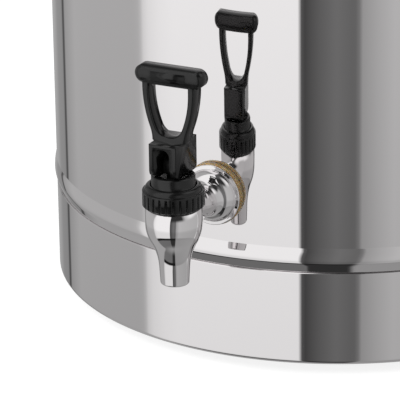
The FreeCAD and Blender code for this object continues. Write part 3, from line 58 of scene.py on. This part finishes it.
class Wiring:
    """Short names for building a node tree."""

    def __init__(self, owner):
        owner.use_nodes = True
        self.tree = owner.node_tree
        self.tree.nodes.clear()

    def add(self, kind, **settings):
        node = self.tree.nodes.new(kind)
        for name, setting in settings.items():
            setattr(node, name, setting)
        return node

    def link(self, source, target):
        self.tree.links.new(source, target)

    def math(self, operation, first, second=None):
        """A sum on one or two numbers or sockets."""
        node = self.add("ShaderNodeMath", operation=operation)
        for socket, item in zip(node.inputs, (first, second)):
            if item is None:
                continue
            if isinstance(item, (int, float)):
                socket.default_value = item
            else:
                self.link(item, socket)
        return node.outputs[0]

    def noise(self, scale, detail=2.0, rough=0.5, stretch=(1, 1, 1)):
        """Cloudy noise fixed to the object. A higher scale makes it finer."""
        place = self.add("ShaderNodeTexCoord")
        size = self.add("ShaderNodeMapping")
        size.inputs["Scale"].default_value = stretch
        noise = self.add("ShaderNodeTexNoise")
        noise.inputs["Scale"].default_value = scale
        noise.inputs["Detail"].default_value = detail
        noise.inputs["Roughness"].default_value = rough
        self.link(place.outputs["Object"], size.inputs["Vector"])
        self.link(size.outputs["Vector"], noise.inputs["Vector"])
        return noise.outputs["Fac"]

    def spread(self, source, low, high, from_low=0.3, from_high=0.7):
        """Stretches the noise's usual range over another range."""
        node = self.add("ShaderNodeMapRange")
        node.inputs["From Min"].default_value = from_low
        node.inputs["From Max"].default_value = from_high
        node.inputs["To Min"].default_value = low
        node.inputs["To Max"].default_value = high
        self.link(source, node.inputs["Value"])
        return node.outputs["Result"]

    def tint(self, source, stops):
        """Colours along a scale. A stop is a place from 0 to 1 and a colour."""
        node = self.add("ShaderNodeValToRGB")
        ramp = node.color_ramp
        while len(ramp.elements) < len(stops):
            ramp.elements.new(0.5)
        for element, (place, shade) in zip(ramp.elements, stops):
            element.position = place
            element.color = (*shade, 1)
        self.link(source, node.inputs["Fac"])
        return node.outputs["Color"]

    def bump(self, height, distance):
        """Relief that is distance metres deep."""
        node = self.add("ShaderNodeBump")
        node.inputs["Strength"].default_value = 1.0
        node.inputs["Distance"].default_value = distance
        self.link(height, node.inputs["Height"])
        return node.outputs["Normal"]


def grey(level):
    return (level, level, level)


def new_material(name, **sockets):
    """A material with one principled shader, and its wiring."""
    material = bpy.data.materials.new(name)
    wires = Wiring(material)
    shader = wires.add("ShaderNodeBsdfPrincipled")
    output = wires.add("ShaderNodeOutputMaterial")
    wires.link(shader.outputs["BSDF"], output.inputs["Surface"])
    for socket, setting in sockets.items():
        target = shader.inputs[socket.replace("_", " ")]
        target.default_value = (*setting, 1) if target.type == "RGBA" else setting
    return material, wires, shader


def metal(name, colour, smooth, dull, grain=40.0, wave=0.0, stretch=(1, 1, 1), lines=0.0):
    """Bare metal. Its roughness wanders from smooth to dull; wave and lines are bump heights in metres."""
    material, wires, shader = new_material(name, Base_Color=colour, Metallic=1.0)
    smear = wires.noise(grain, detail=4, rough=0.6, stretch=stretch)
    wires.link(wires.spread(smear, smooth, dull), shader.inputs["Roughness"])
    if wave:
        broad = wires.noise(7.0, detail=1.0)
        wires.link(wires.bump(broad, wave), shader.inputs["Normal"])
    if lines:
        fine = wires.noise(900.0, detail=2.0, stretch=stretch)
        wires.link(wires.bump(fine, lines), shader.inputs["Normal"])
    return material


def plastic(name, colour, rough, grain_height, coat=0.0):
    """Moulded plastic with a fine skin and slightly uneven gloss."""
    material, wires, shader = new_material(name, Coat_Weight=coat, Coat_Roughness=0.1)
    cloud = wires.noise(60.0, detail=3)
    wires.link(wires.spread(cloud, rough * 0.85, rough * 1.2), shader.inputs["Roughness"])
    lighter = tuple(level * 1.35 for level in colour)
    wires.link(wires.tint(cloud, [(0.3, colour), (0.75, lighter)]), shader.inputs["Base Color"])
    wires.link(wires.bump(wires.noise(1400.0, detail=2), grain_height), shader.inputs["Normal"])
    return material


def rubber(name, colour, rough):
    """Matt rubber."""
    return plastic(name, colour, rough, 0.00004)


def silicone():
    """Amber silicone that lets some light through and darkens with depth."""
    material, wires, shader = new_material(
        "amber_silicone", Roughness=0.32, IOR=1.41, Subsurface_Weight=0.75, Subsurface_Radius=(1.0, 0.6, 0.25),
        Subsurface_Scale=0.004, Transmission_Weight=0.25)
    cloud = wires.noise(180.0, detail=2)
    wires.link(wires.tint(cloud, [(0.3, (0.42, 0.27, 0.12)), (0.7, (0.6, 0.43, 0.23))]),
               shader.inputs["Base Color"])
    return material


def lens_material():
    """Glowing red plastic over the ready lamp."""
    material, wires, shader = new_material(
        "lamp_lens", Roughness=0.12, IOR=1.49, Transmission_Weight=0.55, Emission_Strength=0.25)
    shader.inputs["Emission Color"].default_value = (0.8, 0.12, 0.02, 1)
    rings = wires.noise(500.0, detail=1)
    wires.link(wires.tint(rings, [(0.3, (0.62, 0.06, 0.015)), (0.7, (0.78, 0.1, 0.03))]),
               shader.inputs["Base Color"])
    return material


MATERIALS = {
    "polished_steel": metal("polished_steel", (0.865, 0.845, 0.85), 0.008, 0.025, grain=9.0, wave=0.00004),
    "chrome": metal("chrome", (0.89, 0.87, 0.875), 0.008, 0.02, grain=90.0),
    "black_plastic": plastic("black_plastic", grey(0.005), 0.2, 0.000008),
    "rocker_plastic": plastic("rocker_plastic", grey(0.015), 0.22, 0.00001),
    "amber_silicone": silicone(),
    "foot_rubber": rubber("foot_rubber", grey(0.02), 0.7),
    "drawn_aluminium": metal("drawn_aluminium", (0.78, 0.78, 0.79), 0.22, 0.36, grain=30.0,
                             stretch=(1, 1, 0.1), lines=0.000006),
    "plain_steel": metal("plain_steel", (0.6, 0.6, 0.61), 0.2, 0.38, grain=45.0, lines=0.000004),
    "stem_acetal": plastic("stem_acetal", grey(0.012), 0.5, 0.00002),
    "zinc_steel": metal("zinc_steel", (0.66, 0.67, 0.7), 0.25, 0.42, grain=160.0),
    "element_sheath": metal("element_sheath", (0.3, 0.28, 0.25), 0.35, 0.55, grain=120.0),
    "thermostat_case": plastic("thermostat_case", (0.55, 0.5, 0.42), 0.55, 0.00002),
    "fuse_case": plastic("fuse_case", (0.7, 0.7, 0.66), 0.35, 0.00001),
    "pin_brass": metal("pin_brass", (0.8, 0.62, 0.3), 0.15, 0.3, grain=200.0),
    "lamp_lens": lens_material(),
}


def dress(thing, slot):
    """Gives an object one material over all of it."""
    thing.data.materials.clear()
    thing.data.materials.append(MATERIALS[slot])


def shade_round(thing, degrees=32.0):
    """Rounded faces shade smoothly and edges sharper than that stay crisp."""
    mesh = thing.data
    mesh.polygons.foreach_set("use_smooth", [True] * len(mesh.polygons))
    mesh.set_sharp_from_angle(angle=math.radians(degrees))


for part in frame["record"]["subparts"]:
    node = nodes[part["node"]]
    dress(node, part["material_slot"])
    weld = node.modifiers.new("weld", "WELD")
    weld.merge_threshold = 0.000002
    shade_round(node)


# Turned pieces

FLOOR = 57.3               # underside of the tank, millimetres above the table
WALL = 155.0               # outside of the tank wall and of the base band
SHEET = 1.0                # thickness of the steel
RIM = 400.0                # top of the tank's rolled rim
AROUND = 240               # faces round a turned piece


def arc_points(start, finish, radius, side):
    """Points of an arc between two corners. Its centre is on that side of the way, beyond it if wide."""
    across = Vector(finish) - Vector(start)
    normal = Vector((-across.y, across.x)).normalized()
    sign = 1 if side.startswith("left") != side.endswith("wide") else -1
    rise = math.sqrt(max(radius ** 2 - (across.length / 2) ** 2, 0))
    centre = (Vector(start) + Vector(finish)) / 2 + normal * (sign * rise)
    first, last = (math.atan2(p[1] - centre.y, p[0] - centre.x) for p in (start, finish))
    if side.startswith("left") and last < first:
        last += 2 * math.pi
    if side.startswith("right") and last > first:
        last -= 2 * math.pi
    count = max(2, math.ceil(abs(last - first) / math.radians(6)))
    return [(centre.x + radius * math.cos(first + (last - first) * i / count),
             centre.y + radius * math.sin(first + (last - first) * i / count)) for i in range(1, count)]


def trace(corners, support=0.3):
    """The outline through some corners, with close points where a long straight part begins and ends."""
    points = []
    for number, corner in enumerate(corners):
        start = corner[:2]
        finish = corners[(number + 1) % len(corners)][:2]
        points.append(start)
        if len(corner) > 2:
            points += arc_points(start, finish, corner[3], corner[2])
            continue
        way = Vector(finish) - Vector(start)
        if way.length > 3 * support:
            step = way.normalized() * support
            points.append(tuple(Vector(start) + step))
            points.append(tuple(Vector(finish) - step))
    return points


def turn_on_lathe(name, corners, body, slot, node):
    """A closed skin turned about the urn's axis from an outline in millimetres."""
    points = trace(corners)
    vertices = []
    rows = []
    for radius, height in points:
        if radius == 0:
            rows.append([len(vertices)] * AROUND)
            vertices.append((0, 0, height * MM))
            continue
        rows.append(list(range(len(vertices), len(vertices) + AROUND)))
        for index in range(AROUND):
            angle = 2 * math.pi * index / AROUND
            vertices.append((radius * MM * math.cos(angle), radius * MM * math.sin(angle), height * MM))
    faces = []
    for number, row in enumerate(rows):
        following = rows[(number + 1) % len(rows)]
        for index in range(AROUND):
            beside = (index + 1) % AROUND
            ring = [row[index], row[beside], following[beside], following[index]]
            face = list(dict.fromkeys(ring))
            if len(face) > 2:
                faces.append(face)
    mesh = bpy.data.meshes.new(name)
    mesh.from_pydata(vertices, [], faces)
    thing = bpy.data.objects.new(name, mesh)
    bpy.context.scene.collection.objects.link(thing)
    dress(thing, slot)
    shade_round(thing)
    even = thing.modifiers.new("even_shading", "WEIGHTED_NORMAL")
    even.keep_sharp = True
    even.weight = 100
    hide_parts(node)
    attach(thing, body)
    return thing


def cut(thing, shapes):
    """Takes the shapes out of a turned piece. A shape is a list of corners and its faces."""
    for vertices, faces in shapes:
        mesh = bpy.data.meshes.new("cutter")
        mesh.from_pydata(vertices, [], faces)
        cutter = bpy.data.objects.new("cutter", mesh)
        bpy.context.scene.collection.objects.link(cutter)
        hole = thing.modifiers.new("hole", "BOOLEAN")
        hole.operation = "DIFFERENCE"
        hole.solver = "EXACT"
        hole.object = cutter
        thing.modifiers.move(len(thing.modifiers) - 1, 0)
        bpy.context.view_layer.update()
        keep = thing.modifiers["even_shading"]
        keep.show_viewport = False
        scene_state = bpy.context.evaluated_depsgraph_get()
        result = bpy.data.meshes.new_from_object(thing.evaluated_get(scene_state))
        thing.modifiers.remove(hole)
        thing.data = result
        keep.show_viewport = True
        bpy.data.objects.remove(cutter)
    shade_round(thing)


def window(angle, half_width, half_height, height, radius):
    """A block through the base band. Its angle counts from the tap, towards +X."""
    a = math.radians(angle)
    out = Vector((math.sin(a), -math.cos(a), 0))
    side = Vector((math.cos(a), math.sin(a), 0))
    vertices = []
    for depth in (radius - 15, radius + 15):
        for across, up in ((-1, -1), (1, -1), (1, 1), (-1, 1)):
            place = out * depth + side * (across * half_width) + Vector((0, 0, height + up * half_height))
            vertices.append(tuple(place * MM))
    faces = [(0, 3, 2, 1), (4, 5, 6, 7), (0, 1, 5, 4), (1, 2, 6, 5), (2, 3, 7, 6), (3, 0, 4, 7)]
    return vertices, faces


def drill(across, forward, radius, low, high, corners=24):
    """An upright round cutter."""
    vertices = []
    for height in (low, high):
        for index in range(corners):
            a = 2 * math.pi * index / corners
            place = (across + radius * math.cos(a), forward + radius * math.sin(a), height)
            vertices.append(tuple(v * MM for v in place))
    faces = [tuple(reversed(range(corners))), tuple(range(corners, 2 * corners))]
    for index in range(corners):
        beside = (index + 1) % corners
        faces.append((index, beside, corners + beside, corners + index))
    return vertices, faces


def build_tank():
    """The tank: floor, bead, wall and rolled rim in one skin."""
    corner = 0.91              # radius where the floor turns up into the bead
    swell = 1.15               # how far the bead stands out from the wall
    bead = WALL + swell
    slope = FLOOR + 4.4        # where the bead's lower slope ends
    belly = FLOOR + 6.9        # its widest place
    top = FLOOR + 13.5         # where it runs out into the wall
    crown = (swell ** 2 + (top - belly) ** 2) / (2 * swell)
    roll = 2.2                 # radius of the rolled rim
    rim = RIM - roll
    roll_low = rim - math.sqrt(roll ** 2 - (roll - SHEET) ** 2)
    turn_on_lathe("tank_skin", [
        (0, FLOOR),
        (WALL - 1.35, FLOOR, "left", corner),
        (WALL - 0.49, FLOOR + 0.62),
        (bead - 0.4, slope, "left", 8.0),
        (bead, belly, "left", crown),
        (WALL, top),
        (WALL, roll_low, "left wide", roll),
        (WALL - SHEET, rim),
        (WALL - SHEET, top),
        (bead - SHEET, belly),
        (bead - SHEET - 0.4, slope),
        (WALL - 1.3, FLOOR + 1.9),
        (WALL - 3, FLOOR + SHEET),
        (0, FLOOR + SHEET),
    ], "urn", "polished_steel", "tank")


def build_base_band():
    """The band under the tank, with windows for the inlet and the switch."""
    inner = WALL - 15          # inside of its two flanges
    low = 6.0                  # its lower edge, above the foot ring's underside
    corner = 2.5               # rounding of that edge
    shoulder = 0.5             # rounding of its upper edge
    band = turn_on_lathe("base_band_skin", [
        (inner, low),
        (WALL - corner, low, "left", corner),
        (WALL, low + corner),
        (WALL, FLOOR - shoulder, "left", shoulder),
        (WALL - shoulder, FLOOR),
        (inner, FLOOR),
        (inner, FLOOR - SHEET),
        (WALL - SHEET, FLOOR - SHEET),
        (WALL - SHEET, low + corner, "right", corner - SHEET),
        (WALL - corner, low + SHEET),
        (inner, low + SHEET),
    ], "urn", "polished_steel", "base_band")
    control = 30.0             # middle of the inlet and the switch
    inlet = window(180, 14, 10, control, WALL)
    switch = window(50, 6.5, 12, control, WALL)
    cut(band, [inlet, switch])


def build_lid():
    """The lid: flat flange, locating collar and dome, with its steam vent."""
    low = RIM + 0.3            # underside of the flange
    flange = WALL + 3.6
    collar = WALL - SHEET - 3.5
    collar_low = low - 9
    step = collar - 4          # foot of the dome
    dome_low = low + SHEET + 6
    top = low + SHEET + 34
    crown = 20                 # radius of the flat under the knob
    rise = top - dome_low
    dome = ((step - crown) ** 2 + rise ** 2) / (2 * rise)
    lid = turn_on_lathe("lid_skin", [
        (collar, low),
        (flange, low),
        (flange, low + SHEET),
        (step + 2, low + SHEET),
        (step, dome_low, "left", dome),
        (crown, top),
        (0, top),
        (0, top - SHEET),
        (crown, top - SHEET, "right", dome - SHEET),
        (step - SHEET, dome_low - SHEET),
        (step + 1, low),
        (collar - SHEET, low),
        (collar - SHEET, collar_low),
        (collar, collar_low),
    ], "lid", "polished_steel", "lid")
    vent = drill(0, 62, 1.6, 405, 445)
    cut(lid, [vent])


build_tank()
build_base_band()
build_lid()


# Floor and light

def build_world():
    """White to the camera. Metal sees a studio: a wide softbox, a dark gap beside it, and grey walls."""
    world = bpy.data.worlds.new("studio")
    bpy.context.scene.world = world
    wires = Wiring(world)
    place = wires.add("ShaderNodeTexCoord")
    parts = wires.add("ShaderNodeSeparateXYZ")
    wires.link(place.outputs["Generated"], parts.inputs["Vector"])
    x, y, z = parts.outputs
    bearing = wires.math("ARCTAN2", x, wires.math("MULTIPLY", y, -1.0))
    lift = wires.math("ARCSINE", z)
    lean = wires.math("MULTIPLY", wires.math("ADD", lift, 0.37), -0.05)
    turn = wires.math("ADD", bearing, lean)
    share = wires.math("ADD", wires.math("DIVIDE", turn, 2 * math.pi), 0.5)

    def at(degrees):
        return (degrees + 180.0) / 360.0

    def ramp(source, low, high, low_level=0.0, high_level=1.0):
        """Climbs smoothly from one level to the other between two angles in degrees."""
        node = wires.add("ShaderNodeMapRange", interpolation_type="SMOOTHSTEP")
        for name, setting in (("From Min", math.radians(low)), ("From Max", math.radians(high)),
                              ("To Min", low_level), ("To Max", high_level)):
            node.inputs[name].default_value = setting
        wires.link(source, node.inputs["Value"])
        return node.outputs["Result"]

    def blend(share_of_second, first, second):
        """A mix of two colours."""
        node = wires.add("ShaderNodeMix", data_type="RGBA")
        wires.link(share_of_second, node.inputs["Factor"])
        wires.link(first, node.inputs[6])
        wires.link(second, node.inputs[7])
        return node.outputs[2]

    def dim(colour, share_left):
        """The colour times a share."""
        node = wires.add("ShaderNodeMix", data_type="RGBA")
        wires.link(share_left, node.inputs["Factor"])
        node.inputs[6].default_value = (0, 0, 0, 1)
        wires.link(colour, node.inputs[7])
        return node.outputs[2]

    def by_side(stops):
        """Grey levels round the urn, by degrees from the tap."""
        return wires.tint(share, [(at(degrees), grey(level)) for degrees, level in stops])

    softbox = (-55.5, 8.9)     # degrees from the tap
    gap = (9.9, 32.0)
    sides = by_side([
        (-180, 0.42), (-140, 0.42), (-134.6, 0.37), (-131, 0.31), (-122.5, 0.29), (-121.3, 0.08),
        (-119.7, 0.08), (-118.5, 0.34), (-107, 0.455), (-64, 0.455), (-61, 0.49), (-59, 0.73),
        (-56.5, 0.83), (-51, 0.905), (-44, 0.945), (softbox[1], 0.95), (gap[0], 0.05), (13.6, 0.092),
        (16.9, 0.123), (23.4, 0.17), (29.8, 0.143), (gap[1], 0.15), (33.3, 0.34), (39.6, 0.437), (46.2, 0.52),
        (60, 0.5), (130, 0.46), (134, 0.95), (142, 0.95), (146, 0.12), (170, 0.12), (180, 0.4)])
    sides = dim(sides, ramp(lift, -27, -15, 0.82, 1.0))
    edge = by_side([(-180, 0.38), (-63, 0.38), (softbox[0], 0.01), (gap[1], 0.01), (35.5, 0.28), (180, 0.35)])
    near = by_side([(-180, 0.38), (-63, 0.38), (softbox[0], 0.16), (softbox[1], 0.15), (gap[0], 0.03),
                    (gap[1], 0.03), (35.5, 0.3), (180, 0.35)])
    under = by_side([(-180, 0.35), (180, 0.35)])
    ground = blend(ramp(lift, -47, -44), near, edge)
    ground = blend(ramp(lift, -85, -62), under, ground)
    around = blend(ramp(lift, -41, -38), ground, sides)
    roof = by_side([(-180, 0.08), (-120, 0.08), (-105, 0.4), (-63, 0.4), (softbox[0], 0.95), (softbox[1], 0.95),
                    (gap[0], 0.03), (60, 0.03), (75, 0.5), (100, 0.9), (130, 0.9), (145, 0.08), (180, 0.08)])
    above = by_side([(-180, 0.1), (-100, 0.1), (-60, 0.9), (9, 0.9), (20, 0.1), (180, 0.1)])
    whole = blend(ramp(lift, 22, 40), around, roof)
    whole = blend(ramp(lift, 55, 75), whole, above)

    path = wires.add("ShaderNodeLightPath")
    seen = wires.add("ShaderNodeBackground")
    wires.link(whole, seen.inputs["Color"])
    soft = wires.add("ShaderNodeBackground")
    soft.inputs["Color"].default_value = (*grey(0.55), 1)
    white = wires.add("ShaderNodeBackground")
    white.inputs["Color"].default_value = (1, 1, 1, 1)
    for_gloss = wires.add("ShaderNodeMixShader")
    wires.link(path.outputs["Is Glossy Ray"], for_gloss.inputs["Fac"])
    wires.link(soft.outputs[0], for_gloss.inputs[1])
    wires.link(seen.outputs[0], for_gloss.inputs[2])
    for_camera = wires.add("ShaderNodeMixShader")
    direct = wires.math("MAXIMUM", path.outputs["Is Camera Ray"], path.outputs["Is Transmission Ray"])
    wires.link(direct, for_camera.inputs["Fac"])
    wires.link(for_gloss.outputs[0], for_camera.inputs[1])
    wires.link(white.outputs[0], for_camera.inputs[2])
    output = wires.add("ShaderNodeOutputWorld")
    wires.link(for_camera.outputs[0], output.inputs["Surface"])


def build_floor():
    """A pale table top that runs out of sight and keeps the urn's shadow."""
    reach = 60.0               # metres
    mesh = bpy.data.meshes.new("floor")
    mesh.from_pydata([(-reach, -reach, 0), (reach, -reach, 0), (reach, reach, 0), (-reach, reach, 0)],
                     [], [(0, 1, 2, 3)])
    floor = bpy.data.objects.new("floor", mesh)
    bpy.context.scene.collection.objects.link(floor)
    material = bpy.data.materials.new("pale_floor")
    wires = Wiring(material)
    surface = wires.add("ShaderNodeBsdfDiffuse")
    surface.inputs["Color"].default_value = (*grey(0.27), 1)
    glow = wires.add("ShaderNodeEmission")
    path = wires.add("ShaderNodeLightPath")
    wires.link(wires.math("MULTIPLY", path.outputs["Is Camera Ray"], 0.83), glow.inputs["Strength"])
    both = wires.add("ShaderNodeAddShader")
    wires.link(surface.outputs[0], both.inputs[0])
    wires.link(glow.outputs[0], both.inputs[1])
    output = wires.add("ShaderNodeOutputMaterial")
    wires.link(both.outputs[0], output.inputs["Surface"])
    floor.data.materials.append(material)
    floor.visible_glossy = False


def build_lamp(name, azimuth, elevation, distance, size, power):
    """A square area lamp that looks at the urn. Azimuth counts from the tap's side, towards +X."""
    a = math.radians(azimuth)
    e = math.radians(elevation)
    target = Vector((0, 0, 0.2))
    away = Vector((math.sin(a) * math.cos(e), -math.cos(a) * math.cos(e), math.sin(e)))
    data = bpy.data.lights.new(name, "AREA")
    data.shape = "SQUARE"
    data.size = size
    data.energy = power
    lamp = bpy.data.objects.new(name, data)
    lamp.location = target + away * distance
    lamp.rotation_mode = "QUATERNION"
    lamp.rotation_quaternion = away.to_track_quat("Z", "Y")
    lamp.visible_camera = False
    lamp.visible_glossy = False
    bpy.context.scene.collection.objects.link(lamp)
    return lamp


def build_camera():
    """The photograph's camera."""
    yaw, pitch, roll, turn = (math.radians(v) for v in (CAMERA_YAW, CAMERA_PITCH, CAMERA_ROLL, VIEW_AZIMUTH))
    ahead = Vector((-math.sin(yaw) * math.cos(pitch), math.cos(yaw) * math.cos(pitch), -math.sin(pitch)))
    right = Vector((math.cos(yaw), math.sin(yaw), 0))
    up = right.cross(ahead)
    tilted_right = right * math.cos(roll) + up * math.sin(roll)
    tilted_up = up * math.cos(roll) - right * math.sin(roll)
    place = Matrix.Translation((0, -CAMERA_DISTANCE, CAMERA_HEIGHT))
    look = Matrix((tilted_right, tilted_up, -ahead)).transposed().to_4x4()
    data = bpy.data.cameras.new("camera")
    data.lens = CAMERA_LENS
    data.sensor_width = 36.0
    data.clip_end = 100.0
    camera = bpy.data.objects.new("camera", data)
    bpy.context.scene.collection.objects.link(camera)
    camera.matrix_world = Matrix.Rotation(turn, 4, "Z") @ place @ look
    bpy.context.scene.camera = camera


build_world()
build_floor()
build_lamp("key", -30, 40, 2.2, 1.2, 28)
build_lamp("fill", 80, 30, 2.4, 1.4, 10)
build_lamp("back", 190, 45, 2.6, 1.4, 14)
build_camera()

settings = bpy.context.scene.view_settings
settings.view_transform = "Standard"
